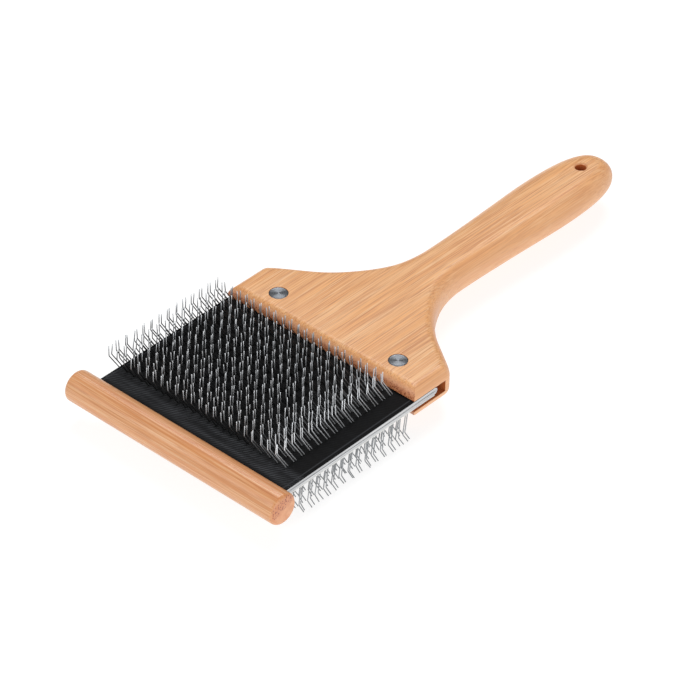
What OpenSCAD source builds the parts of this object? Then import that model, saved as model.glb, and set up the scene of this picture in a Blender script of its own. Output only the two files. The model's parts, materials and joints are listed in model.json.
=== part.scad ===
// Double-sided slicker brush. A folded aluminium sheet carries card clothing on both faces. Its open
// edges sit in a groove in a round front bar, and its fold is riveted into a slot in a bamboo handle.
// The modules draw in the brush frame: Y = 0 on the front bar's axis, Z = 0 on the sheet's middle plane.

/* [Handle] */
// Thickness of the handle board
board_t = 15; // [14:0.5:18]
// Width of the head
head_w = 103.6; // [102:0.2:112]
// From the bar's axis to the front of the lips
lip_y = 82; // [78:1:90]
// From the bar's axis to the shoulders
shoulder_y = 103; // [101:0.5:106]
// Width of the neck
neck_w = 23.4; // [20:0.2:28]
// From the bar's axis to the neck
neck_y = 159; // [150:1:170]
// Widest part of the grip
grip_w = 29; // [26:0.5:34]
// From the bar's axis to the widest part of the grip
grip_y = 225; // [215:1:235]
// From the bar's axis to the end of the grip
end_y = 264.7; // [255:0.1:280]
// Radius of the rounded edge along both sides
edge_r = 5; // [3:0.5:6]
// Radius of the rounded front edge of each lip
front_r = 5.4; // [3:0.2:6]
// Bore of the hanging hole
hang_d = 5; // [4:0.5:8]
// From the bar's axis to the hanging hole
hang_y = 248.7; // [240:0.1:260]

/* [Slot] */
// Height of the slot that takes the sheet
slot_h = 5.4; // [5.4:0.1:6]
// From the bar's axis to the bottom of the slot
slot_end_y = 101; // [100:0.5:104]

/* [Front bar] */
// Diameter of the bar
bar_d = 14; // [12:0.5:18]
// Length of the bar
bar_l = 115; // [110:1:130]
// Radius of the rounded ends
bar_round = 1.8; // [1:0.1:3]
// Depth of the groove below the round face
groove_depth = 5; // [3:0.5:6]

/* [Sheet and card clothing] */
// Width of the sheet and of both card cloths
sheet_w = 102; // [98:1:110]
// Thickness of the folded sheet
sheet_t = 1.1; // [0.7:0.1:1.2]
// Gap between the leaves inside the bar
gap_front = 0.2; // [0.2:0.1:0.6]
// Gap between the leaves at the fold
gap_back = 0.9; // [0.7:0.1:1.2]
// From the bar's axis to the start of the fold
fold_y = 95.4; // [95.4:0.1:97]
// Thickness of the card cloth
cloth_t = 0.8; // [0.5:0.1:0.8]
// How far the cloth stops short of the fold
cloth_short = 0.1; // [0.1:0.1:0.5]

/* [Pins] */
// Diameter of the wire
wire_d = 0.45; // [0.3:0.05:0.6]
// Pairs of pins in each row
columns = 23; // [10:1:23]
// Distance between the pairs of a row
column_pitch = 4.17; // [3:0.01:4.17]
// Rows on each face
rows = 14; // [14:1:14]
// Distance between the rows
row_pitch = 4.72; // [4:0.01:4.72]
// From the bar's axis to the first row
first_row_y = 18.4; // [16:0.1:20]
// Distance between the two pins of a pair
pair_gap = 1.3; // [0.8:0.1:2]
// From the side edge of the cloth to the first pair
side_margin = 0.8; // [0.6:0.1:4]

/* [Rivets] */
// Diameter of the flush heads
head_d = 8.2; // [7:0.1:10]
// Thickness of the heads
head_t = 1.6; // [1:0.1:2.5]
// Diameter of the tube of the outer half
tube_d = 4; // [3.5:0.1:4.2]
// Diameter of the stem of the inner half
stem_d = 2.4; // [2:0.1:2.8]
// How far each half reaches past the middle
rivet_lap = 4; // [2:0.5:5]
// Distance between the two rivets
rivet_gap = 66; // [50:1:80]
// From the bar's axis to the rivets
rivet_y = 93.2; // [91:0.1:93.2]

/* [Hidden] */

$fn = 64;
play = 0.05;             // clearance around the rivets' tubes and heads
bend_steps = 12;         // flats round the sheet's fold
hang_chamfer = 0.6;
bamboo = "#e6b37f";
outline_steps = 9;       // points on each curved stretch of the outline
round_steps = 20;        // sides of the ball that rounds the handle's edges
leaf_y = bar_d / 2 - groove_depth;
root_lean = [-2.0, -3.75, 7.45];   // from a pin's root to its knee
tip_lean = [-1.3, 1.4, 3.6];       // from its knee to its tip
knee_d = 1.1 * wire_d;             // the wire swells a little where it is bent
last_row_y = first_row_y + (rows - 1) * row_pitch;
rest_z = outer_z(last_row_y + pair_gap / 2) + root_lean.z + tip_lean.z
    + wire_d / 2 * norm([tip_lean.x, tip_lean.y]) / norm(tip_lean);
middle_y = (end_y - bar_d / 2) / 2;

// Half the gap between the leaves, and the height of a cloth's outer face, at a distance y.
function half_gap(y) = (gap_front + (gap_back - gap_front) * (y - leaf_y) / (fold_y - leaf_y)) / 2;
function outer_z(y) = half_gap(y) + sheet_t + cloth_t;

// Points of a cubic curve from a to d with the handles b and c, without its last point.
function cubic(a, b, c, d) = [for (i = [0:outline_steps - 1]) let (t = i / outline_steps)
    pow(1 - t, 3) * a + 3 * pow(1 - t, 2) * t * b + 3 * (1 - t) * t * t * c + pow(t, 3) * d];

// The outline's right half, from the front of the head to the end of the grip.
flank = [31, 119];                 // where the shoulder turns into the hollow flank
flank_way = [-0.762, 0.648];       // the outline's direction there
shoulder = [head_w / 2, shoulder_y];
neck = [neck_w / 2, neck_y];
grip = [grip_w / 2, grip_y];
// How far each curve's two handles reach, in order along the outline.
pull = [[3, 8], [20, 11], [21, 16], [25, 11.7]];
half_outline = concat(
    [[head_w / 2, lip_y - edge_r]],
    cubic(shoulder, shoulder + [0, pull[0][0]], flank - pull[0][1] * flank_way, flank),
    cubic(flank, flank + pull[1][0] * flank_way, neck - [0, pull[1][1]], neck),
    cubic(neck, neck + [0, pull[2][0]], grip - [0, pull[2][1]], grip),
    cubic(grip, grip + [0, pull[3][0]], [pull[3][1], end_y], [0, end_y]));
outline = concat(half_outline, [[0, end_y]],
    [for (i = [len(half_outline) - 1:-1:0]) [-half_outline[i].x, half_outline[i].y]]);

// Moves a module from the brush frame to the part's frame: the origin is below the middle of the
// overall length, on the plane of the lower tips.
module place() translate([0, -middle_y, rest_z]) children();

// Turns a face's parts into the other face's: half a turn about the length of the brush.
module other_face() rotate([0, 180, 0]) children();

module along_x(width) rotate([90, 0, 90]) linear_extrude(width, center = true) children();

module at_rivets() for (s = [-1, 1]) translate([s * rivet_gap / 2, rivet_y, 0]) children();

module rounded_board() minkowski() {
    linear_extrude(board_t - 2 * edge_r, center = true) offset(delta = -edge_r) polygon(outline);
    sphere(edge_r, $fn = round_steps);
}

module lip_profile() {
    translate([lip_y, front_r - board_t / 2]) square([front_r, board_t - 2 * front_r]);
    translate([lip_y + front_r, -board_t / 2]) square([end_y - lip_y, board_t]);
    for (s = [-1, 1]) translate([lip_y + front_r, s * (board_t / 2 - front_r)]) circle(front_r);
}

module handle() color(bamboo) place() difference() {
    intersection() {
        rounded_board();
        along_x(head_w + edge_r) lip_profile();
    }
    translate([-head_w, lip_y - edge_r, -slot_h / 2])
        cube([2 * head_w, slot_end_y - lip_y + edge_r, slot_h]);
    translate([0, hang_y, 0]) {
        cylinder(d = hang_d, h = 2 * board_t, center = true);
        for (s = [0, 180]) rotate([s, 0, 0]) translate([0, 0, board_t / 2 - hang_chamfer])
            cylinder(d1 = hang_d, d2 = hang_d + 4 * hang_chamfer, h = 2 * hang_chamfer);
    }
    at_rivets() {
        cylinder(d = tube_d + 2 * play, h = 2 * board_t, center = true);
        for (s = [0, 180]) rotate([s, 0, 0]) translate([0, 0, board_t / 2 - head_t])
            cylinder(d = head_d + 2 * play, h = board_t);
    }
}

module bar_profile() {
    square([bar_d / 2 - bar_round, bar_l / 2]);
    square([bar_d / 2, bar_l / 2 - bar_round]);
    translate([bar_d / 2 - bar_round, bar_l / 2 - bar_round]) circle(bar_round);
}

module front_bar() color(bamboo) place() difference() {
    rotate([0, 90, 0]) for (s = [0, 180]) rotate([s, 0, 0]) rotate_extrude() bar_profile();
    translate([-sheet_w / 2, leaf_y, -outer_z(bar_d / 2)])
        cube([sheet_w, bar_d, 2 * outer_z(bar_d / 2)]);
}

// A layer that follows one leaf: base and top are its heights above the leaf's inner face.
module layer(y1, y2, base, top) polygon([[y1, half_gap(y1) + base], [y2, half_gap(y2) + base],
    [y2, half_gap(y2) + top], [y1, half_gap(y1) + top]]);

// The folded sheet's edge: out along the upper leaf, round the fold and back along the lower leaf.
function bend(r, from, to) = [for (i = [0:bend_steps]) let (a = from + (to - from) * i / bend_steps)
    [fold_y + r * cos(a), r * sin(a)]];
sheet_edge = concat([[leaf_y, half_gap(leaf_y) + sheet_t]], bend(gap_back / 2 + sheet_t, 90, -90),
    [[leaf_y, -half_gap(leaf_y) - sheet_t], [leaf_y, -half_gap(leaf_y)]],
    bend(gap_back / 2, -90, 90), [[leaf_y, half_gap(leaf_y)]]);

module folded_sheet() color("#d9dcde") place() difference() {
    along_x(sheet_w) polygon(sheet_edge);
    at_rivets() cylinder(d = tube_d + 2 * play, h = board_t, center = true);
}

module card_cloth() difference() {
    along_x(sheet_w) layer(leaf_y, fold_y - cloth_short, sheet_t, sheet_t + cloth_t);
    at_rivets() cylinder(d = tube_d + 2 * play, h = board_t, center = true);
}

module upper_card_cloth() color("#1d1d1e") place() card_cloth();
module lower_card_cloth() color("#d8d8d4") place() other_face() card_cloth();

// A straight length of wire from start that runs along way.
module wire(start, way) translate(start)
    rotate([0, acos(way.z / norm(way)), atan2(way.y, way.x)]) cylinder(d = wire_d, h = norm(way));

module pin() {
    wire([0, 0, 0], root_lean);
    wire(root_lean, tip_lean);
    translate(root_lean) sphere(d = knee_d);
}

// One row of bent pins on the upper face. They stand in pairs, as the two legs of one wire do.
module pin_row(row) color("#c9ccd0") for (column = [1:columns], s = [-1, 1]) {
    y = first_row_y + (row - 1) * row_pitch + s * pair_gap / 2;
    translate([side_margin - sheet_w / 2 + (column - 1) * column_pitch, y, outer_z(y)]) pin();
}

module rivet_half(shaft_d) {
    translate([0, 0, -rivet_lap]) cylinder(d = shaft_d, h = board_t / 2 + rivet_lap);
    translate([0, 0, board_t / 2 - head_t]) cylinder(d = head_d, h = head_t);
}

module rivet_tubes() color("#8b9197") place() at_rivets() difference() {
    rivet_half(tube_d);
    translate([0, 0, -board_t]) cylinder(d = stem_d + 2 * play, h = board_t + rivet_lap + play);
}

module rivet_stems() color("#8b9197") place() at_rivets() rotate([180, 0, 0]) rivet_half(stem_d);

handle();
front_bar();
folded_sheet();
upper_card_cloth();
lower_card_cloth();
rivet_tubes();
rivet_stems();
for (row = [1:rows]) {
    place() pin_row(row);
    place() other_face() pin_row(row);
}
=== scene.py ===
"""Double-sided slicker brush: looks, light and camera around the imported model."""
import json
import math

import bmesh
import bpy
import numpy as np
from mathutils import Matrix, Vector
from mathutils.geometry import delaunay_2d_cdt


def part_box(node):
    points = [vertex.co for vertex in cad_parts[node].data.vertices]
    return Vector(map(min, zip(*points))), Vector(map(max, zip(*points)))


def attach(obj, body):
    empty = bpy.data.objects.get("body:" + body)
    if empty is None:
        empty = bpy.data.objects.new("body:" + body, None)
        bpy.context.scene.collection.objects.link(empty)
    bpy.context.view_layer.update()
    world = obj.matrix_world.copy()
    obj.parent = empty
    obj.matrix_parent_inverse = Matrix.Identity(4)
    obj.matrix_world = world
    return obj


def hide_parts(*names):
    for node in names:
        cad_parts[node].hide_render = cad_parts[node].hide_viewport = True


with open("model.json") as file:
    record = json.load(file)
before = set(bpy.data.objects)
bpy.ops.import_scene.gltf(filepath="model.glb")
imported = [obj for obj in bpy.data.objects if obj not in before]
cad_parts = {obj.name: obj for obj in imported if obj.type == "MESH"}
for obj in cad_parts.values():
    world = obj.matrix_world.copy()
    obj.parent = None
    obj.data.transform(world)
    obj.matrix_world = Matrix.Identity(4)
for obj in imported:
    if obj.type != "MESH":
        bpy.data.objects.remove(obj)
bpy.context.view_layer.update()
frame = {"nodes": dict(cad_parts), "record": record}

MM = 0.001
CLOSE = 1e-3                                      # points closer than this, in millimetres, become one
TAU = 2 * math.pi
ROWS = sorted(n for n in frame["nodes"] if "_pin_row_" in n)


def span(node):
    """A node's lowest and highest corners in millimetres, as two arrays."""
    return [np.array(corner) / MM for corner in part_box(node)]


# ---------------------------------------------------------------- sizes, in millimetres
HANDLE_LOW, HANDLE_HIGH = span("handle")
BAR_LOW, BAR_HIGH = span("front_bar")
SHEET_LOW, SHEET_HIGH = span("folded_sheet")
CLOTH_LOW, CLOTH_HIGH = span("upper_card_cloth")
RIVET_LOW, RIVET_HIGH = span("rivet_tubes")
HANG = next(m for m in frame["record"]["mounts"] if m["kind"] == "bore")

MID_Z = (HANDLE_LOW[2] + HANDLE_HIGH[2]) / 2      # the sheet's middle plane
AXIS_Y = (BAR_LOW[1] + BAR_HIGH[1]) / 2           # the front bar's axis

BOARD_T = HANDLE_HIGH[2] - HANDLE_LOW[2]
HEAD_HALF = HANDLE_HIGH[0]
LIP_Y = HANDLE_LOW[1] - AXIS_Y                    # the outline is drawn from the bar's axis
END_Y = HANDLE_HIGH[1] - AXIS_Y
SHOULDER_Y = 103.0
FLANK, FLANK_WAY = np.array([31.0, 119.0]), np.array([-0.762, 0.648])
NECK = np.array([11.7, 159.0])
GRIP = np.array([14.5, 225.0])
SHOULDER_PULL = (3, 8)                            # handle lengths of the outline's four curves, at the
FLANK_PULL = (20, 11)                             # start and the end of each
NECK_PULL = (21, 16)
TAIL_PULL = (25, 11.7)
WIDENING = (126, 146)                             # where the head's edge rounding grows into the neck's
FILLING = (150, 215)                              # where the neck's grows into the grip's
LIP_R = 5.4                                       # rounding along the front of each lip
SLOT_HALF, SLOT_END = 2.7, 101.0                  # half the slot's height, and where it ends
HEAD_ROUND = BOARD_T / 2 - SLOT_HALF              # edge rounding on the head, down to the slot's corner
NECK_ROUND = np.array([6.6, 6.4])                 # across and down, at the neck
GRIP_ROUND = np.array([9.4, 7.2])                 # across and down, on the grip
HANG_R, HANG_CHAMFER = HANG["dims"]["r_mm"], 0.6
RAW = 1                                           # the handle's second material, in the slot and holes

BAR_R = (BAR_HIGH[2] - BAR_LOW[2]) / 2
BAR_HALF = BAR_HIGH[0]
BAR_ROUND = 1.8

SHEET_HALF = SHEET_HIGH[0]
LEAF_GAP = 0.12                                   # half the gap between the two pressed leaves
LEAF_Y = SHEET_LOW[1] - AXIS_Y                    # where the leaves start, inside the bar
FOLD_R = (SHEET_HIGH[2] - SHEET_LOW[2]) / 2       # outer radius of the fold
FOLD_Y = SHEET_HIGH[1] - AXIS_Y - FOLD_R
CLOTH_END = CLOTH_HIGH[1] - AXIS_Y
LEAF_Z = CLOTH_LOW[2] - MID_Z                     # outer face of a leaf where it starts
CLOTH_T = CLOTH_HIGH[2] - MID_Z - FOLD_R
CLOTH_EASE, CLOTH_LIFT = 0.15, 0.01               # eased side edges, and the gap that keeps it off the leaf

RIVET_R, RIVET_T = 4.1, 1.6
DISH, RING_STEP, RING_H = 0.05, 0.25, 0.01        # how deep the face is dished, and its turned rings
TUBE_R, STEM_R, RIVET_LAP, PLAY = 2.0, 1.2, 4.0, 0.05
RIVET_X = RIVET_HIGH[0] - RIVET_R
RIVET_Y = (RIVET_LOW[1] + RIVET_HIGH[1]) / 2 - AXIS_Y

WIRE_R, KNEE_R = 0.225, 0.9
ROOT_DEPTH = 0.5                                  # how far a pin goes into its cloth
ROOT_LEAN = np.array([-2.0, -3.75, 7.45])         # from a pin's root to its knee
TIP_LEAN = np.array([-1.3, 1.4, 3.6])             # from its knee to its tip
PAIRS, PAIR_PITCH, PAIR_GAP = 23, 4.17, 1.3
PAIR_STRAY, GAP_STRAY = [0.3, 0.22], 0.3          # how far pairs and legs stray from their places
KNEE_STRAY, TIP_STRAY = [0.28, 0.3, 0.0], [0.3, 0.3, 0.0]
UPPER_LEFT_STRAY = 0.1                            # how far an upper pair may stray to the left
SHORTEST = 0.95                                   # the shortest pin, as a share of the usual height

FLOOR_HALF, FLOOR_DROP = 6000.0, 0.5              # half its width, and how far it lies below the brush


# ---------------------------------------------------------------- mesh helpers
def in_row(points):
    """From millimetres in the brush's own frame, with Y from the bar's axis and Z from the middle plane,
    to metres."""
    return (np.asarray(points, float) + [0, AXIS_Y, MID_Z]) * MM


def grid_faces(rows, columns, closed=False):
    """Quads of a rows x columns grid of points, with the last column joined to the first if closed."""
    r = np.arange(rows - 1)[:, None] * columns
    c = np.arange(columns if closed else columns - 1)[None, :]
    d = (c + 1) % columns
    return np.stack([r + c, r + d, r + columns + d, r + columns + c], -1).reshape(-1, 4)


def surface(points, closed=False):
    """A part from an array of points (rows, columns, 3)."""
    rows, columns = points.shape[:2]
    return points.reshape(-1, 3), grid_faces(rows, columns, closed).tolist()


def polygon(points):
    """A part of one flat face."""
    return np.asarray(points, float), [list(range(len(points)))]


def build(name, parts, materials, sharp=40):
    """One object from parts in millimetres: the parts are joined, close points become one, and the faces
    are turned outwards. A part is (points, faces), or (points, faces, which of the materials it has)."""
    verts, faces, looks, start = [], [], [], 0
    for points, part_faces, *look in parts:
        verts.append(points)
        faces += [[start + i for i in face] for face in part_faces]
        looks += [look[0] if look else 0] * len(part_faces)
        start += len(points)
    mesh = bpy.data.meshes.new(name)
    mesh.from_pydata(in_row(np.concatenate(verts)).tolist(), [], faces)
    mesh.polygons.foreach_set("material_index", looks)
    work = bmesh.new()
    work.from_mesh(mesh)
    bmesh.ops.remove_doubles(work, verts=work.verts, dist=CLOSE * MM)
    bmesh.ops.dissolve_degenerate(work, edges=work.edges, dist=CLOSE * MM)
    bmesh.ops.recalc_face_normals(work, faces=work.faces)
    work.to_mesh(mesh)
    work.free()
    mesh.shade_smooth()
    mesh.set_sharp_from_angle(angle=math.radians(sharp))
    for material in materials:
        mesh.materials.append(material)
    piece = bpy.data.objects.new(name, mesh)
    bpy.context.scene.collection.objects.link(piece)
    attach(piece, "root")
    return piece


def circle(radius, centre, steps=48):
    """Points round a circle, counter-clockwise."""
    a = np.arange(steps) * TAU / steps
    return np.stack([centre[0] + radius * np.cos(a), centre[1] + radius * np.sin(a)], -1)


def inside(points, loop):
    """Even-odd test of many points against one closed loop."""
    a, b = loop, np.roll(loop, -1, 0)
    px, py = points[:, None, 0], points[:, None, 1]
    crosses = (a[:, 1] > py) != (b[:, 1] > py)
    rise = np.where(b[:, 1] == a[:, 1], 1e-12, b[:, 1] - a[:, 1])
    at = a[:, 0] + (py - a[:, 1]) * (b[:, 0] - a[:, 0]) / rise
    return (crosses & (px < at)).sum(1) % 2 == 1


def cap(loop, holes, z):
    """A flat face at height z inside the loop and outside the holes, as triangles."""
    loops = [loop] + holes
    points = np.concatenate(loops)
    sizes = [len(l) for l in loops]
    starts = np.cumsum([0] + sizes[:-1])
    edges = [(s + i, s + (i + 1) % n) for s, n in zip(starts, sizes) for i in range(n)]
    verts, _, tris = delaunay_2d_cdt([Vector(p) for p in points.tolist()], edges, [], 0, 1e-6)[:3]
    flat = np.array([tuple(v) for v in verts])
    tris = np.array([list(t) for t in tris])
    middles = flat[tris].mean(1)
    keep = inside(middles, loop)
    for hole in holes:
        keep &= ~inside(middles, hole)
    return np.column_stack([flat, np.full(len(flat), z)]), tris[keep].tolist()


def walls(levels):
    """Walls from one loop to the next: levels is a list of (loop, z)."""
    return surface(np.stack([np.column_stack([l, np.full(len(l), z)]) for l, z in levels]), closed=True)


# ---------------------------------------------------------------- bamboo handle
def cubic(a, b, c, d, steps=28):
    """Points of a cubic curve from a to d with the handles b and c, without the last point."""
    t = np.linspace(0, 1, steps, endpoint=False)[:, None]
    return (1 - t) ** 3 * a + 3 * (1 - t) ** 2 * t * b + 3 * (1 - t) * t * t * c + t ** 3 * d


def ease(y, start, end):
    """0 before start, 1 after end, smooth between."""
    t = np.clip((y - start) / (end - start), 0, 1)
    return t * t * (3 - 2 * t)


def side_outline():
    """The outline's right side from the shoulder to the tail, and its outward normals."""
    up = np.array([0.0, 1.0])
    shoulder = np.array([HEAD_HALF, SHOULDER_Y])
    tail = np.array([0, END_Y])
    points = np.concatenate([
        cubic(shoulder, shoulder + SHOULDER_PULL[0] * up, FLANK - SHOULDER_PULL[1] * FLANK_WAY, FLANK),
        cubic(FLANK, FLANK + FLANK_PULL[0] * FLANK_WAY, NECK - FLANK_PULL[1] * up, NECK),
        cubic(NECK, NECK + NECK_PULL[0] * up, GRIP - NECK_PULL[1] * up, GRIP),
        cubic(GRIP, GRIP + TAIL_PULL[0] * up, tail + [TAIL_PULL[1], 0], tail), [tail]])
    way = np.gradient(points, axis=0)
    way[0], way[-1] = [0, 1], [-1, 0]
    way /= np.linalg.norm(way, axis=1)[:, None]
    return points, np.column_stack([way[:, 1], -way[:, 0]])


def rounding(y):
    """How far the edge rounding reaches across and down at distance y. It goes smoothly from the head's
    size to the neck's, and from the neck's to the grip's."""
    neck, grip = ease(y, *WIDENING)[:, None], ease(y, *FILLING)[:, None]
    return HEAD_ROUND + neck * (NECK_ROUND - HEAD_ROUND) + grip * (GRIP_ROUND - NECK_ROUND)


def handle_core():
    """The edge of the flat top as points, outward normals and rounding, from where the slot ends on the
    right, round the tail, to where it ends on the left. It is the outline moved in by the rounding. Where
    the shoulder turns tighter than the rounding, the moved line would cross itself, so the crossing becomes
    one point with a fan of normals."""
    points, normals = side_outline()
    size = rounding(points[:, 1])
    core = points - normals * size[:, :1]
    inner_x = HEAD_HALF - HEAD_ROUND
    crossing = np.flatnonzero(core[:, 0] >= inner_x - 1e-9)[-1] + 1
    a, b = core[crossing - 1], core[crossing]
    corner = a + (b - a) * (a[0] - inner_x) / (a[0] - b[0])
    turn = np.linspace(0, math.atan2(normals[crossing, 1], normals[crossing, 0]), 9)
    fan = np.column_stack([np.cos(turn), np.sin(turn)])
    straight = np.column_stack([np.full(2, inner_x), [SLOT_END, (SLOT_END + corner[1]) / 2]])
    core = np.concatenate([straight, np.tile(corner, (9, 1)), core[crossing:]])
    normals = np.concatenate([np.tile([1.0, 0.0], (2, 1)), fan, normals[crossing:]])
    size = np.concatenate([np.full((11, 2), HEAD_ROUND), size[crossing:]])
    mirror = np.array([-1, 1])
    return (np.concatenate([core, core[-2::-1] * mirror]),
            np.concatenate([normals, normals[-2::-1] * mirror]),
            np.concatenate([size, size[-2::-1]]))


def front_inset(z):
    """How far the lip's rounded front lies behind its foremost line, at height z."""
    over = np.clip(np.abs(z) - (BOARD_T / 2 - LIP_R), 0, LIP_R)
    return LIP_R - np.sqrt(LIP_R ** 2 - over ** 2)


def handle_ring(core, normals, across, z):
    """One closed line round the handle: the core moved out along its normals by across, then straight along
    the head's left side to the lip, along the lip's front, and back along the right side."""
    points = np.column_stack([core + normals * across[:, None], z])
    edge, z0 = points[0, 0], z[0]
    front = LIP_Y + front_inset(z0)
    run = np.linspace(SLOT_END, front, 10)[1:]
    left = np.column_stack([np.full(9, -edge), run, np.full(9, z0)])
    row = np.linspace(-edge, edge, 40)[1:-1]
    lip = np.column_stack([row, np.full(38, front), np.full(38, z0)])
    right = left[::-1] * [-1, 1, 1]
    return np.concatenate([points, left, lip, right])


def handle_rings():
    """The upper half's closed lines: from the slot's height, or the rounding's foot where that is lower,
    up the side, and over a quarter turn, out by the cosine and up by the sine, onto the flat top. Also how
    many points each has before the head's left side."""
    core, normals, size = handle_core()
    across, down = size.T
    centre_z = BOARD_T / 2 - down
    base = np.minimum(centre_z, SLOT_HALF)
    rings = [handle_ring(core, normals, across, base + (centre_z - base) * t) for t in (0, 0.5)]
    for turn in np.linspace(0, math.pi / 2, 13):
        out, height = across * math.cos(turn), centre_z + down * math.sin(turn)
        rings.append(handle_ring(core, normals, out, height))
    return np.stack(rings), len(core)


def handle_parts():
    """The handle's shell: both halves with the slot's faces and the holes, the side between the halves
    beyond the slot, and the slot's end."""
    rings, around = handle_rings()
    top_z = BOARD_T / 2
    down = np.array([1, 1, -1])
    rivets = [(-RIVET_X, RIVET_Y), (RIVET_X, RIVET_Y)]
    hang = (0.0, HANG["pos_m"][1] / MM - AXIS_Y)
    seats = [circle(RIVET_R + PLAY, c) for c in rivets]
    bores = [circle(TUBE_R + PLAY, c) for c in rivets]
    mouth, hole = circle(HANG_R + HANG_CHAMFER, hang), circle(HANG_R, hang)
    halves = [surface(rings, True), cap(rings[-1][:, :2], seats + [mouth], top_z)]
    slot = np.concatenate([rings[0][around - 1:], rings[0][:1]])
    halves.append((*cap(slot[:, :2], bores, SLOT_HALF), RAW))
    floor = top_z - RIVET_T
    for seat, bore in zip(seats, bores):
        halves.append((*walls([(seat, top_z), (seat, floor), (bore, floor), (bore, SLOT_HALF)]), RAW))
    halves.append(walls([(mouth, top_z), (hole, top_z - HANG_CHAMFER)]))
    halves.append((*walls([(hole, top_z - HANG_CHAMFER), (hole, 0)]), RAW))
    parts = halves + [(points * down, *rest) for points, *rest in halves]
    side = rings[0][:around]
    parts.append(surface(np.stack([side * down, side])))
    parts.append((*polygon([side[-1] * down, side[0] * down, side[0], side[-1]]), RAW))
    return parts


# ---------------------------------------------------------------- front bar
def bar_parts():
    """The bar: a circle in Y and Z carried along X, smaller at the rounded ends. Its groove is a flat-sided
    box that stops short of the ends."""
    mouth_half = CLOTH_T + LEAF_Z + (FOLD_R - LEAF_Z) * (BAR_R - LEAF_Y) / (FOLD_Y - LEAF_Y)
    mouth = math.asin(mouth_half / BAR_R)
    turn = np.concatenate([np.linspace(mouth, TAU - mouth, 73), np.linspace(-mouth, mouth, 9)[1:-1]])
    bend = np.linspace(0, math.pi / 2, 7)
    end_x = BAR_HALF - BAR_ROUND + BAR_ROUND * np.sin(bend)
    end_r = BAR_R - BAR_ROUND + BAR_ROUND * np.cos(bend)
    middle = np.linspace(-SHEET_HALF, SHEET_HALF, 25)
    x = np.concatenate([-end_x[::-1], middle, end_x])
    r = np.concatenate([end_r[::-1], np.full(25, BAR_R), end_r])
    points = np.stack([np.broadcast_to(x[:, None], (len(x), len(turn))),
                       r[:, None] * np.cos(turn), r[:, None] * np.sin(turn)], -1)
    ends = len(end_x)
    back = points[:, :73]
    lip = np.concatenate([points[:, 72:], points[:, :1]], 1)
    parts = [surface(back), surface(lip[:ends + 1]), surface(lip[-ends - 1:]),
             polygon(points[0]), polygon(points[-1])]
    y_edge, z_edge = BAR_R * math.cos(mouth), BAR_R * math.sin(mouth)
    box = np.array([[y_edge, -z_edge], [LEAF_Y, -z_edge], [LEAF_Y, z_edge], [y_edge, z_edge]])
    parts.append(surface(np.stack([np.column_stack([np.full(4, mx), box]) for mx in middle])))
    for row, mx in ((ends, -SHEET_HALF), (-ends - 1, SHEET_HALF)):
        inner = np.column_stack([np.full(2, mx), box[2:0:-1]])
        parts.append(polygon(np.concatenate([lip[row], inner])))
    return parts


# ---------------------------------------------------------------- sheet and card cloths
def leaf_z(y):
    """Height of a leaf's outer face above the middle plane, which grows evenly from the bar to the fold."""
    return LEAF_Z + (FOLD_R - LEAF_Z) * (y - LEAF_Y) / (FOLD_Y - LEAF_Y)


def sheet_parts():
    """One hairpin: an outer line along the upper leaf, half a turn round the fold and back along the lower
    leaf, an inner line beside it, both carried along X, and the edges between them."""
    turn = np.linspace(math.pi / 2, -math.pi / 2, 25)
    arc = np.column_stack([np.cos(turn), np.sin(turn)])
    y = np.linspace(LEAF_Y, FOLD_Y, 20)[:-1]
    upper_out, upper_in = np.column_stack([y, leaf_z(y)]), np.column_stack([y, np.full(len(y), LEAF_GAP)])
    flip = np.array([1, -1])
    outer = np.concatenate([upper_out, arc * FOLD_R + [FOLD_Y, 0], upper_out[::-1] * flip])
    inner = np.concatenate([upper_in, arc * LEAF_GAP + [FOLD_Y, 0], upper_in[::-1] * flip])
    x = np.linspace(-SHEET_HALF, SHEET_HALF, 3)
    skin = [np.stack([np.column_stack([np.full(len(line), at), line]) for at in x])
            for line in (outer, inner)]
    parts = [surface(points) for points in skin]
    parts += [surface(np.stack([skin[0][i], skin[1][i]])) for i in (0, -1)]
    parts += [surface(np.stack([skin[0][:, i], skin[1][:, i]])) for i in (0, -1)]
    return parts


def cloth_parts(side):
    """A thin slab that follows its leaf, with slightly eased side edges. side is 1 above and -1 below."""
    y = np.linspace(LEAF_Y, CLOTH_END, 40)
    inner = np.linspace(1 - SHEET_HALF, SHEET_HALF - 1, 30)
    x = np.concatenate([[-SHEET_HALF, CLOTH_EASE - SHEET_HALF], inner,
                        [SHEET_HALF - CLOTH_EASE, SHEET_HALF]])
    drop = np.where(np.abs(x) > SHEET_HALF - CLOTH_EASE / 2, CLOTH_EASE, 0)
    ys, xs = np.meshgrid(y, x, indexing="ij")
    base = leaf_z(ys) + CLOTH_LIFT
    face = np.stack([xs, ys, leaf_z(ys) + CLOTH_T - drop], -1)
    back = np.stack([xs, ys, base], -1)
    parts = [surface(face), surface(back)]
    parts += [surface(np.stack([face[i], back[i]])) for i in (0, -1)]
    parts += [surface(np.stack([face[:, i], back[:, i]])) for i in (0, -1)]
    turn = np.array([side, 1, side])
    return [(points * turn, faces) for points, faces in parts]


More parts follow.
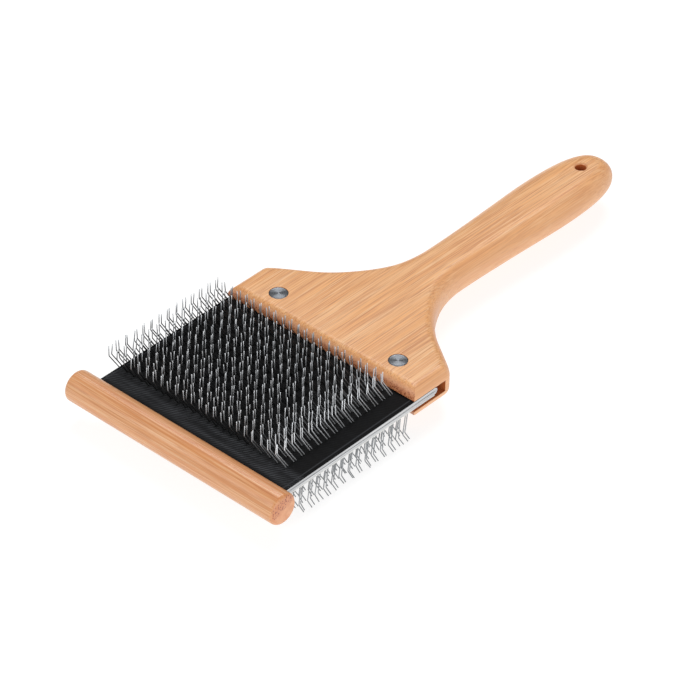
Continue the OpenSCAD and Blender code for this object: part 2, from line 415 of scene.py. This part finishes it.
# ---------------------------------------------------------------- pins
def pin_paths(roots, knees, tips):
    """Each pin's centre line: from below the cloth's face up the first leg, along a curve with the knee as
    its handle, and up the second leg to the tip. The curve starts where an arc of the knee's radius
    would."""
    first = knees - roots
    second = tips - knees
    first /= np.linalg.norm(first, axis=1)[:, None]
    second /= np.linalg.norm(second, axis=1)[:, None]
    turn = np.arccos(np.clip((first * second).sum(1), -1, 1))[:, None]
    cut = KNEE_R * np.tan(turn / 2)
    lines = [roots - ROOT_DEPTH * first, knees - cut * first]
    for t in (0.33, 0.67):
        a, b = knees - cut * first, knees + cut * second
        lines.append((1 - t) ** 2 * a + 2 * t * (1 - t) * knees + t * t * b)
    lines += [knees + cut * second, tips]
    return np.stack(lines, 1), first, second


def pin_tubes(roots, knees, tips, sides=6):
    """Six-sided tubes along the paths. Each ring is set square to the path's direction, which turns by
    thirds round the knee from one leg's to the other's."""
    paths, first, second = pin_paths(roots, knees, tips)
    count, rings = paths.shape[:2]
    across = np.cross(first, second)
    across /= np.linalg.norm(across, axis=1)[:, None]
    share = np.array([0, 0, 1 / 3, 2 / 3, 1, 1])[None, :, None]
    way = first[:, None] * (1 - share) + second[:, None] * share
    way /= np.linalg.norm(way, axis=2)[..., None]
    up = np.cross(across[:, None], way)
    a = np.arange(sides) * TAU / sides
    ring = (np.cos(a)[:, None] * across[:, None, None] + np.sin(a)[:, None] * up[:, :, None]) * WIRE_R
    points = (paths[:, :, None] + ring).reshape(-1, 3)
    one = grid_faces(rings, sides, True)
    shift = np.arange(count)[:, None, None] * rings * sides
    quads = (one[None] + shift).reshape(-1, 4).tolist()
    low = (np.arange(sides)[None, ::-1] + shift[:, 0]).tolist()
    high = (np.arange(sides)[None] + (rings - 1) * sides + shift[:, 0]).tolist()
    return points, quads + low + high


def pin_row(node):
    """One row of bent pins: pairs at an even pitch, each with a near and a far leg. Real pins are never
    quite alike, so each pair and each leg strays a little."""
    face, number = node.split("_")[0], int(node.split("_")[-1])
    side = 1 if face == "upper" else -1
    rng = np.random.default_rng(number + (100 if side < 0 else 0))
    low, high = span(node)
    turn = np.array([side, 1, side])
    reach = ROOT_LEAN + TIP_LEAN
    start_x = (low[0] if side > 0 else -high[0]) - reach[0] + WIRE_R
    root_y = (low[1] - AXIS_Y) - ROOT_LEAN[1] + WIRE_R
    column = np.repeat(np.arange(PAIRS), 2)
    leg = np.tile([0, 1], PAIRS)
    stray = rng.uniform(-1, 1, (PAIRS, 2))[column] * PAIR_STRAY
    gap = PAIR_GAP * leg + rng.uniform(-GAP_STRAY, GAP_STRAY, len(leg)) * leg
    left = UPPER_LEFT_STRAY if side > 0 else PAIR_STRAY[0]
    x = start_x + column * PAIR_PITCH + np.maximum(stray[:, 0], -left)
    y = root_y + gap + stray[:, 1]
    roots = np.column_stack([x, y, leaf_z(y) + CLOTH_T])
    lean = rng.uniform(-1, 1, (len(leg), 3)) * KNEE_STRAY
    tip = rng.uniform(-1, 1, (len(leg), 3)) * TIP_STRAY
    height = rng.uniform(SHORTEST, 1.0, len(leg))[:, None]
    knees = roots + (ROOT_LEAN + lean) * height
    tips = knees + (TIP_LEAN + tip) * height
    points, faces = pin_tubes(roots, knees, tips)
    return points * turn, faces


# ---------------------------------------------------------------- rivets
def revolved(profile, centre, flip):
    """A (radius, height) profile turned round an upright axis. flip is -1 for the underside."""
    a = np.arange(64) * TAU / 64
    radius, height = np.asarray(profile, float).T
    points = np.stack([centre[0] + radius[:, None] * np.cos(a), centre[1] + radius[:, None] * np.sin(a),
                       np.broadcast_to(height[:, None] * flip, (len(radius), 64))], -1)
    return surface(points, True)


def rivet_face(top):
    """The head's face as (radius, height): slightly dished, with turned rings, a shallow groove and a plain
    rim with a small chamfer."""
    radius = np.arange(0.5, RIVET_R - 0.6, RING_STEP)
    rings = [(r, top - DISH + RING_H * (i % 2)) for i, r in enumerate(radius)]
    groove = [(RIVET_R - 0.5, top - 0.08), (RIVET_R - 0.4, top - 0.01)]
    rim = [(RIVET_R - 0.2, top - 0.01), (RIVET_R, top - 0.2)]
    return [(0.0, top - DISH)] + rings + groove + rim


def rivet_parts(shaft_r, hollow_r, flip):
    """Flush heads with a turned face, and the shaft below, hollow on the outer halves."""
    top = BOARD_T / 2
    shaft = [(RIVET_R, top - RIVET_T), (shaft_r, top - RIVET_T), (shaft_r, -RIVET_LAP)]
    solid = [(0.0, -RIVET_LAP)]
    hollow = [(hollow_r, -RIVET_LAP), (hollow_r, RIVET_LAP + PLAY), (0.0, RIVET_LAP + PLAY)]
    profile = rivet_face(top) + shaft + (hollow if hollow_r else solid)
    return [revolved(profile, (x, RIVET_Y), flip) for x in (-RIVET_X, RIVET_X)]


# ---------------------------------------------------------------- materials
def linear(hex_colour):
    """An sRGB hex colour as linear RGBA."""
    c = np.array([int(hex_colour[i:i + 2], 16) for i in (1, 3, 5)]) / 255
    return (*np.where(c <= 0.04045, c / 12.92, ((c + 0.055) / 1.055) ** 2.4), 1.0)


def add(tree, kind, inputs, out=0, stops=(), **settings):
    """Adds a node and returns one of its outputs. Inputs are plain values, or outputs of other nodes to
    link from. Settings are the node's properties. Stops are a colour ramp's, each a position and a colour or
    grey level."""
    node = tree.nodes.new("ShaderNode" + kind)
    for key, value in settings.items():
        setattr(node, key, value)
    for key, value in inputs.items():
        if isinstance(value, bpy.types.NodeSocket):
            tree.links.new(value, node.inputs[key])
        else:
            node.inputs[key].default_value = value
    for i, (position, colour) in enumerate(stops):
        stop = node.color_ramp.elements[i] if i < 2 else node.color_ramp.elements.new(position)
        stop.position = position
        stop.color = linear(colour) if isinstance(colour, str) else (colour, colour, colour, 1)
    return node.outputs[out]


def new_material(name, constants):
    """A material whose shader has the given constants."""
    material = bpy.data.materials.new(name)
    material.use_nodes = True
    shader = material.node_tree.nodes["Principled BSDF"]
    for key, value in constants.items():
        shader.inputs[key].default_value = value
    return material, material.node_tree, shader


def spread(tree, sizes, shift=(0, 0, 0)):
    """Object coordinates divided by a pattern's size in millimetres along X, Y and Z."""
    place = add(tree, "TexCoord", {}, "Object")
    return add(tree, "Mapping", {"Vector": place, "Location": shift,
                                 "Scale": [1 / (size * MM) for size in sizes]})


def along(axis, length, width):
    """Pattern sizes that are long on the grain's axis."""
    return [length if i == axis else width for i in range(3)]


def from_bar_axis(tree, across, up):
    """Signed distance in millimetres from the bar's axis, along the direction (across in Y, up in Z)."""
    place = add(tree, "TexCoord", {}, "Object")
    shifted = add(tree, "VectorMath", {0: place, 1: (0, AXIS_Y * MM, MID_Z * MM)}, operation="SUBTRACT")
    return add(tree, "VectorMath", {0: shifted, 1: (0, across / MM, up / MM)}, "Value",
               operation="DOT_PRODUCT")


def dense_layer(tree, axis):
    """Where the culm's outer and densest layer meets a cut end: a slanting band across the bar's round end,
    and the parts of the lips' fronts next to the slot."""
    if axis == 0:
        offset = from_bar_axis(tree, -0.40, 0.92)
        stops = [(0.0, 0.0), (0.1, 0.1), (0.24, 1.0), (0.55, 1.0), (0.7, 0.3), (0.9, 0.0)]
        return add(tree, "ValToRGB", {0: add(tree, "Math", {0: offset, 1: 0.1, 2: 0.1},
                                             operation="MULTIPLY_ADD")}, stops=stops)
    height = add(tree, "Math", {0: from_bar_axis(tree, 0, 1)}, operation="ABSOLUTE")
    return add(tree, "ValToRGB", {0: add(tree, "Math", {0: height, 1: 0.1}, operation="MULTIPLY")},
               stops=[(0.4, 1.0), (0.62, 0.15)])


def cut_ends(tree, axis):
    """The look of the fibres cut across: pink-brown, with dark round pores crowded into the dense layer."""
    blush = add(tree, "TexNoise", {"Vector": spread(tree, [3] * 3, (1, 1, 1)), "Scale": 1.0, "Detail": 3.0,
                                   "Roughness": 0.6})
    ground = add(tree, "ValToRGB", {0: blush}, stops=[(0.3, "#D0885A"), (0.7, "#DFA173")])
    cells = add(tree, "TexVoronoi", {"Vector": spread(tree, [0.8] * 3), "Scale": 1.0, "Randomness": 0.9})
    pores = add(tree, "ValToRGB", {0: cells}, stops=[(0.3, 1.0), (0.48, 0.0)])
    dense = dense_layer(tree, axis)
    shown = add(tree, "Math", {0: pores, 1: dense}, operation="MULTIPLY")
    shade = add(tree, "Math", {0: dense, 1: 0.35}, operation="MULTIPLY")
    darker = add(tree, "Mix", {0: shade, 6: ground, 7: linear("#B8683F")}, 2, data_type="RGBA")
    return add(tree, "Mix", {0: shown, 6: darker, 7: linear("#96492A")}, 2, data_type="RGBA")


def bamboo(name, axis, ground, plain_sheen_share, gloss):
    """Bamboo laminate, sanded and lacquered: hair-fine pale fibres and darker pores run along the grain,
    over strips of slightly different tone. They blur to a plainer face on the sides, with a painted sheen
    there that makes it lighter and pinker, and their cut ends show as dots. The thin lacquer gives a soft
    sheen. Each layer of lines has its length and width in millimetres, where its noise starts and ends,
    its share and its colour."""
    material, tree, shader = new_material(name, {"Roughness": 0.45, "Coat Weight": gloss,
                                                 "Coat Roughness": 0.25})
    colour = linear(ground)
    for length, width, low, high, share, shade in (
            (170, 9.0, 0.40, 0.62, 0.50, "#E9B785"), (90, 3.0, 0.46, 0.66, 0.60, "#D58F52"),
            (45, 0.55, 0.46, 0.66, 0.60, "#EDC598"), (38, 0.5, 0.50, 0.66, 0.75, "#C47C42"),
            (16, 0.32, 0.54, 0.68, 0.60, "#B26A36")):
        lines = add(tree, "TexNoise", {"Vector": spread(tree, along(axis, length, width), (width, 5, 7)),
                                       "Scale": 1.0, "Detail": 2.0, "Roughness": 0.5})
        covers = add(tree, "ValToRGB", {0: lines}, stops=[(low, 0.0), (high, share)])
        colour = add(tree, "Mix", {0: covers, 6: colour, 7: linear(shade)}, 2, data_type="RGBA")
    normal = add(tree, "VectorMath", {0: add(tree, "NewGeometry", {}, "Normal")}, operation="ABSOLUTE")
    # Painted sheen: faces turned sideways to the grain get a plainer tone, painted lighter and pinker.
    sideways = add(tree, "SeparateXYZ", {0: normal}, 1 - axis)
    plain_sheen = add(tree, "ValToRGB", {0: sideways}, stops=[(0.1, 0.0), (0.75, plain_sheen_share)])
    colour = add(tree, "Mix", {0: plain_sheen, 6: colour, 7: linear("#E3AC82")}, 2, data_type="RGBA")
    facing = add(tree, "SeparateXYZ", {0: normal}, axis)
    end = add(tree, "ValToRGB", {0: facing}, stops=[(0.4, 0.0), (0.85, 1.0)])
    look = add(tree, "Mix", {0: end, 6: colour, 7: cut_ends(tree, axis)}, 2, data_type="RGBA")
    tree.links.new(look, shader.inputs["Base Color"])
    bump = add(tree, "Bump", {"Height": lines, "Strength": 0.12, "Distance": 0.0002})
    tree.links.new(bump, shader.inputs["Normal"])
    return material


def raw_bamboo():
    """Bamboo as the saw and the drill left it: bare, rough and a dull red-brown, with torn fibres."""
    material, tree, shader = new_material("raw_sawn_bamboo", {"Roughness": 0.85})
    torn = add(tree, "TexNoise", {"Vector": spread(tree, [0.5, 6, 0.5]), "Scale": 1.0, "Detail": 4.0,
                                  "Roughness": 0.7})
    tree.links.new(add(tree, "ValToRGB", {0: torn}, stops=[(0.3, "#AE5422"), (0.7, "#CE7838")]),
                   shader.inputs["Base Color"])
    tree.links.new(add(tree, "Bump", {"Height": torn, "Strength": 0.4, "Distance": 0.0003}),
                   shader.inputs["Normal"])
    return material


def aluminium():
    """Mill-finish aluminium sheet: bright, with faint rolling lines along its length."""
    material, tree, shader = new_material("mill_aluminium", {"Metallic": 1.0})
    lines = add(tree, "TexNoise", {"Vector": spread(tree, [0.35, 40, 0.35]), "Scale": 1.0, "Detail": 3.0,
                                   "Roughness": 0.6})
    tree.links.new(add(tree, "ValToRGB", {0: lines}, stops=[(0.35, "#A6A8AA"), (0.65, "#DCDDDE")]),
                   shader.inputs["Base Color"])
    tree.links.new(add(tree, "Math", {0: lines, 1: 0.2, 2: 0.22}, operation="MULTIPLY_ADD"),
                   shader.inputs["Roughness"])
    return material


def card_cloth():
    """Black rubber-faced card cloth: matt, with the twill of the cloth below printing through as fine
    slanting ridges, greyer on the bare margin by the bar, and a paler line just inside each side edge."""
    material, tree, shader = new_material("black_card_cloth", {"Roughness": 0.7, "Specular IOR Level": 0.1})
    place = add(tree, "TexCoord", {}, "Object")
    slant = add(tree, "Mapping", {"Vector": place, "Rotation": (0, 0, math.radians(62)),
                                  "Scale": [1 / MM] * 3})
    twill = add(tree, "TexWave", {"Vector": slant, "Scale": 0.3, "Distortion": 3.0, "Detail": 2.0,
                                  "Detail Scale": 0.5}, "Fac")
    ridges = add(tree, "ValToRGB", {0: twill}, stops=[(0.4, 0.1), (0.95, 1.0)])
    from_bar = add(tree, "Math", {0: from_bar_axis(tree, 1, 0), 1: 1 / 40}, operation="MULTIPLY")
    margin = add(tree, "ValToRGB", {0: from_bar},
                 stops=[(0.18, 0.0), (0.26, 1.0), (0.4, 0.8), (0.48, 0.08)])
    patch = add(tree, "TexNoise", {"Vector": spread(tree, [16, 3, 3]), "Scale": 1.0, "Detail": 3.0})
    patchy = add(tree, "ValToRGB", {0: patch}, stops=[(0.35, 0.35), (0.65, 1.0)])
    greyer = add(tree, "Math", {0: margin, 1: patchy}, operation="MULTIPLY")
    grey_ridges = add(tree, "Math", {0: ridges, 1: greyer}, operation="MULTIPLY")
    from_middle = add(tree, "Math", {0: add(tree, "SeparateXYZ", {0: place}, "X")}, operation="ABSOLUTE")
    from_edge = add(tree, "Math", {0: from_middle, 1: -0.1 / MM, 2: SHEET_HALF / 10},
                    operation="MULTIPLY_ADD")
    line = add(tree, "ValToRGB", {0: from_edge},
               stops=[(0.1, 0.0), (0.13, 0.5), (0.15, 0.5), (0.18, 0.0)])
    light = add(tree, "Math", {0: grey_ridges, 1: line}, operation="MAXIMUM")
    black = add(tree, "Mix", {0: light, 6: linear("#060607"), 7: linear("#4B4D51")}, 2, data_type="RGBA")
    tree.links.new(black, shader.inputs["Base Color"])
    tree.links.new(add(tree, "Bump", {"Height": twill, "Strength": 0.3, "Distance": 0.0002}),
                   shader.inputs["Normal"])
    return material


def felt():
    """Pale grey wool felt card cloth: matt and slightly fuzzy, with short flecks."""
    material, tree, shader = new_material("grey_felt_cloth", {"Roughness": 0.9, "Sheen Weight": 0.3})
    fleck = add(tree, "TexNoise", {"Vector": spread(tree, [0.8] * 3), "Scale": 1.0, "Detail": 4.0,
                                   "Roughness": 0.7})
    tree.links.new(add(tree, "ValToRGB", {0: fleck}, stops=[(0.3, "#C9C9C6"), (0.7, "#E6E6E3")]),
                   shader.inputs["Base Color"])
    tree.links.new(add(tree, "Bump", {"Height": fleck, "Strength": 0.3, "Distance": 0.0002}),
                   shader.inputs["Normal"])
    return material


def wire():
    """Drawn and plated steel wire, satin and a little duller in patches. The upper pins are made darker
    towards their roots and brighter at their tips, and from 22 to 44 mm right of the middle they change to
    one light shade all along. The lower pins are one grey. These shades were chosen to look right, and
    stand in for light and shade in the field. They aren't known to be the metal's own."""
    material, tree, shader = new_material("plated_steel_wire", {"Metallic": 0.65})
    dull = add(tree, "TexNoise", {"Vector": spread(tree, [6] * 3), "Scale": 1.0, "Detail": 2.0})
    metal = add(tree, "ValToRGB", {0: dull}, stops=[(0.3, "#8E9194"), (0.7, "#A6A8AA")])
    height = from_bar_axis(tree, 0, 1)
    share = add(tree, "Math", {0: add(tree, "Math", {0: height}, operation="ABSOLUTE"), 1: 1 / 14},
                operation="MULTIPLY")
    by_height = add(tree, "ValToRGB", {0: share},
                    stops=[(0.3, 0.06), (0.62, 0.22), (0.82, 0.65), (0.93, 1.5)])
    place = add(tree, "TexCoord", {}, "Object")
    outer = add(tree, "Math", {0: add(tree, "SeparateXYZ", {0: place}, "X"), 1: 0.01 / MM},
                operation="MULTIPLY")
    to_light = add(tree, "ValToRGB", {0: outer}, stops=[(0.22, 0.0), (0.44, 1.0)])
    upper = add(tree, "Math", {0: height, 1: 0.0}, operation="GREATER_THAN")
    above = add(tree, "Mix", {0: to_light, 6: by_height, 7: (1.75, 1.75, 1.75, 1)}, 2, data_type="RGBA")
    shade = add(tree, "Mix", {0: upper, 6: (0.75, 0.75, 0.75, 1), 7: above}, 2, data_type="RGBA")
    grey = add(tree, "Mix", {0: 1.0, 6: metal, 7: shade}, 2, data_type="RGBA", blend_type="MULTIPLY")
    tree.links.new(grey, shader.inputs["Base Color"])
    tree.links.new(add(tree, "Math", {0: dull, 1: 0.1, 2: 0.3}, operation="MULTIPLY_ADD"),
                   shader.inputs["Roughness"])
    return material


def turned_steel():
    """Turned steel: the lathe's fine rings round the rivet's axis spread the light outwards from the
    middle, so the face shows lighter and darker fans."""
    material, tree, shader = new_material("turned_rivet_steel", {"Metallic": 1.0, "Roughness": 0.34,
                                                                 "Anisotropic": 0.85})
    place = add(tree, "TexCoord", {}, "Object")
    x = add(tree, "SeparateXYZ", {0: place}, "X")
    y = add(tree, "SeparateXYZ", {0: place}, "Y")
    flipped = add(tree, "CombineXYZ", {"X": add(tree, "Math", {0: x}, operation="ABSOLUTE"), "Y": y})
    offset = add(tree, "VectorMath", {0: flipped, 1: (RIVET_X * MM, (RIVET_Y + AXIS_Y) * MM, 0)},
                 operation="SUBTRACT")
    mirror = add(tree, "CombineXYZ", {"X": add(tree, "Math", {0: x}, operation="SIGN"), "Y": 1.0})
    outwards = add(tree, "VectorMath", {0: offset, 1: mirror}, operation="MULTIPLY")
    tree.links.new(add(tree, "VectorMath", {0: outwards}, operation="NORMALIZE"), shader.inputs["Tangent"])
    radius = add(tree, "VectorMath", {0: offset}, "Value", operation="LENGTH")
    outward = add(tree, "Math", {0: radius, 1: 1 / (0.3 * MM)}, operation="MULTIPLY")
    rings = add(tree, "TexNoise", {"W": outward, "Scale": 1.0, "Detail": 2.0}, noise_dimensions="1D")
    tree.links.new(add(tree, "ValToRGB", {0: rings}, stops=[(0.3, "#5A5D62"), (0.7, "#7E8185")]),
                   shader.inputs["Base Color"])
    return material


# ---------------------------------------------------------------- the pieces
def finish_piece(piece, slot, *nodes):
    """Hides the nodes that the piece stands for, and returns the piece. slot, the finish it takes, is not
    used.
    """
    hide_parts(*nodes)
    return piece


def make_brush():
    """Every piece of the brush, with its material."""
    metal, steel = wire(), turned_steel()
    board = bamboo("lacquered_bamboo_board", 1, "#E8A766", 0.6, 0.22)
    finish_piece(build("bamboo_handle", handle_parts(), [board, raw_bamboo()]), "bamboo", "handle")
    dowel = bamboo("lacquered_bamboo_dowel", 0, "#CC8046", 0.15, 0.45)
    finish_piece(build("bamboo_front_bar", bar_parts(), [dowel]), "bamboo", "front_bar")
    sheet = build("aluminium_hairpin_sheet", sheet_parts(), [aluminium()])
    finish_piece(sheet, "sheet_aluminium", "folded_sheet")
    for side, name, slot, node, look in (
            (1, "upper_cloth", "black_card_cloth", "upper_card_cloth", card_cloth()),
            (-1, "lower_cloth", "grey_card_cloth", "lower_card_cloth", felt())):
        cloth = finish_piece(build(name, cloth_parts(side), [look]), slot, node)
    for name, shape, node in (("rivet_outer_halves", (TUBE_R, STEM_R + PLAY, 1), "rivet_tubes"),
                              ("rivet_inner_halves", (STEM_R, 0, -1), "rivet_stems")):
        finish_piece(build(name, rivet_parts(*shape), [steel], sharp=60), "rivet_steel", node)
    for node in ROWS:
        row = build(node.replace("row", "set"), [pin_row(node)], [metal], sharp=50)
        finish_piece(row, "pin_wire", node)


# ---------------------------------------------------------------- floor, light and camera
def place_camera():
    """A long lens, above, in front and to the right."""
    azimuth, elevation, roll = (math.radians(a) for a in (42.037, 37.615, 0.677))
    distance, sight, lens = 1597.667, np.array([-36.722, 135.129, -42.345]), 198.1531723
    back = Vector((math.sin(azimuth) * math.cos(elevation), -math.cos(azimuth) * math.cos(elevation),
                   math.sin(elevation)))
    right = Vector((math.cos(azimuth), math.sin(azimuth), 0))
    up = back.cross(right)
    turned_right = right * math.cos(roll) + up * math.sin(roll)
    turned_up = up * math.cos(roll) - right * math.sin(roll)
    data = bpy.data.cameras.new("camera")
    data.sensor_width = 36
    data.lens = lens
    data.clip_end = 20
    camera = bpy.data.objects.new("camera", data)
    bpy.context.scene.collection.objects.link(camera)
    turn = Matrix((turned_right, turned_up, back)).transposed().to_4x4()
    camera.matrix_world = Matrix.Translation(Vector(in_row(sight)) + back * distance * MM) @ turn
    bpy.context.scene.camera = camera


def soft_light(name, place, size, power):
    """A large square light that faces the brush."""
    data = bpy.data.lights.new(name, "AREA")
    data.size, data.energy = size, power
    light = bpy.data.objects.new(name, data)
    light.location = place
    light.rotation_euler = (-Vector(place)).to_track_quat("-Z", "Y").to_euler()
    bpy.context.scene.collection.objects.link(light)


def make_studio():
    """A pale floor, an even bright surround and large soft lights in front, at the side and overhead."""
    material = new_material("pale_paper_floor", {
        "Base Color": (0.3, 0.3, 0.3, 1), "Roughness": 0.9, "Emission Color": (1, 1, 1, 1),
        "Emission Strength": 0.8})[0]
    floor = bpy.data.meshes.new("floor")
    half = FLOOR_HALF * MM
    corners = [(-half, -half, 0), (half, -half, 0), (half, half, 0), (-half, half, 0)]
    floor.from_pydata(corners, [], [(0, 1, 2, 3)])
    floor.materials.append(material)
    stage = bpy.data.objects.new("floor", floor)
    stage.location.z = -FLOOR_DROP * MM
    bpy.context.scene.collection.objects.link(stage)
    world = bpy.data.worlds.new("studio")
    world.use_nodes = True
    world.node_tree.nodes["Background"].inputs["Color"].default_value = (1, 1, 1, 1)
    world.node_tree.nodes["Background"].inputs["Strength"].default_value = 0.32
    bpy.context.scene.world = world
    soft_light("front_light", (-1.0, -2.4, 1.8), 1.6, 28)
    soft_light("side_light", (2.4, -0.9, 0.75), 1.9, 34)
    soft_light("top_light", (-0.9, 1.2, 2.6), 1.6, 48)
    bpy.context.scene.view_settings.view_transform = "Standard"


make_brush()
make_studio()
place_camera()
